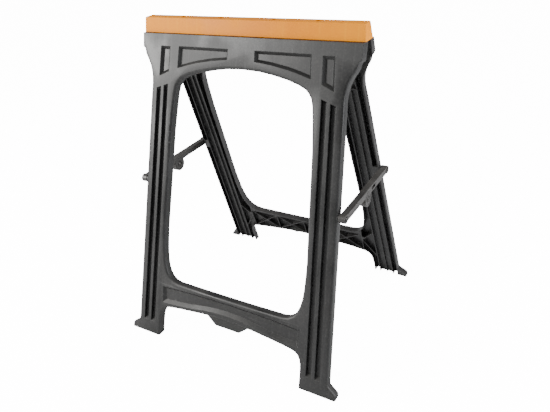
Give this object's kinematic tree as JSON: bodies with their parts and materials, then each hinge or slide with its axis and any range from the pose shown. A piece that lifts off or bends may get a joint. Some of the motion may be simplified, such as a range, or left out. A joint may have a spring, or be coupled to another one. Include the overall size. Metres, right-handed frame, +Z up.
{
  "type": "folding sawhorse",
  "caption": "Folding plastic sawhorse: a moulded top beam on two hinged, ribbed leg frames held open by toggle braces at the sides.",
  "frame": {"origin": "centre of the bounding box's bottom, on the floor under the middle of the beam", "axes": "+X along the beam, -Y towards the front leg frame, +Z up"},
  "size_m": [0.5954, 0.5156, 0.76],
  "materials": {
    "yellow_plastic": "satin moulded polypropylene, yellow orange",
    "black_plastic": "satin moulded polypropylene, black, fine grain",
    "brace_plastic": "moulded nylon, dark grey",
    "steel": "zinc plated",
    "nylon": "natural nylon"
  },
  "bodies": {
    "beam": {"top_beam": "yellow_plastic", "hinge_rod": "steel", "rod_keeper_left": "nylon", "rod_keeper_right": "nylon", "keeper_screw_left": "steel", "keeper_screw_right": "steel"},
    "front_legs": {"front_leg_frame": "black_plastic", "front_pivot_pin_left": "steel", "front_pivot_pin_right": "steel", "front_pivot_washer_left": "nylon", "front_pivot_washer_right": "nylon"},
    "rear_legs": {"rear_leg_frame": "black_plastic"},
    "front_link_left": {"brace_front_link_left": "brace_plastic", "elbow_rivet_left": "steel"},
    "rear_link_left": {"brace_rear_link_left": "brace_plastic", "rear_pivot_pin_left": "steel", "rear_pivot_washer_left": "nylon"},
    "front_link_right": {"brace_front_link_right": "brace_plastic", "elbow_rivet_right": "steel"},
    "rear_link_right": {"brace_rear_link_right": "brace_plastic", "rear_pivot_pin_right": "steel", "rear_pivot_washer_right": "nylon"}
  },
  "joints": [
    {"name": "front_leg_fold", "type": "hinge", "parent": "beam", "child": "front_legs", "pos_m": [0, 0, 0.7448], "axis": [1, 0, 0], "range_deg": [0, 17.64]},
    {"name": "rear_leg_fold", "type": "hinge", "parent": "beam", "child": "rear_legs", "pos_m": [0, 0, 0.7448], "axis": [1, 0, 0], "range_deg": [-17.64, 0]},
    {"name": "brace_pivot_left", "type": "hinge", "parent": "front_legs", "child": "front_link_left", "pos_m": [-0.2678, -0.12314, 0.39045], "axis": [1, 0, 0], "range_deg": [0, 75.22]},
    {"name": "brace_elbow_left", "type": "hinge", "parent": "front_link_left", "child": "rear_link_left", "pos_m": [-0.2678, 0, 0.3745], "axis": [1, 0, 0], "range_deg": [-185.72, 0]},
    {"name": "brace_pivot_right", "type": "hinge", "parent": "front_legs", "child": "front_link_right", "pos_m": [0.2678, -0.12314, 0.39045], "axis": [1, 0, 0], "range_deg": [0, 75.22]},
    {"name": "brace_elbow_right", "type": "hinge", "parent": "front_link_right", "child": "rear_link_right", "pos_m": [0.2678, 0, 0.3745], "axis": [1, 0, 0], "range_deg": [-185.72, 0]}
  ],
  "couplings": [
    {"joint": "rear_leg_fold", "follows": "front_leg_fold", "ratio": -1},
    {"joint": "brace_pivot_left", "follows": "front_leg_fold", "ratio": 4.2597},
    {"joint": "brace_elbow_left", "follows": "front_leg_fold", "ratio": -10.519},
    {"joint": "brace_pivot_right", "follows": "front_leg_fold", "ratio": 4.2597},
    {"joint": "brace_elbow_right", "follows": "front_leg_fold", "ratio": -10.519}
  ]
}
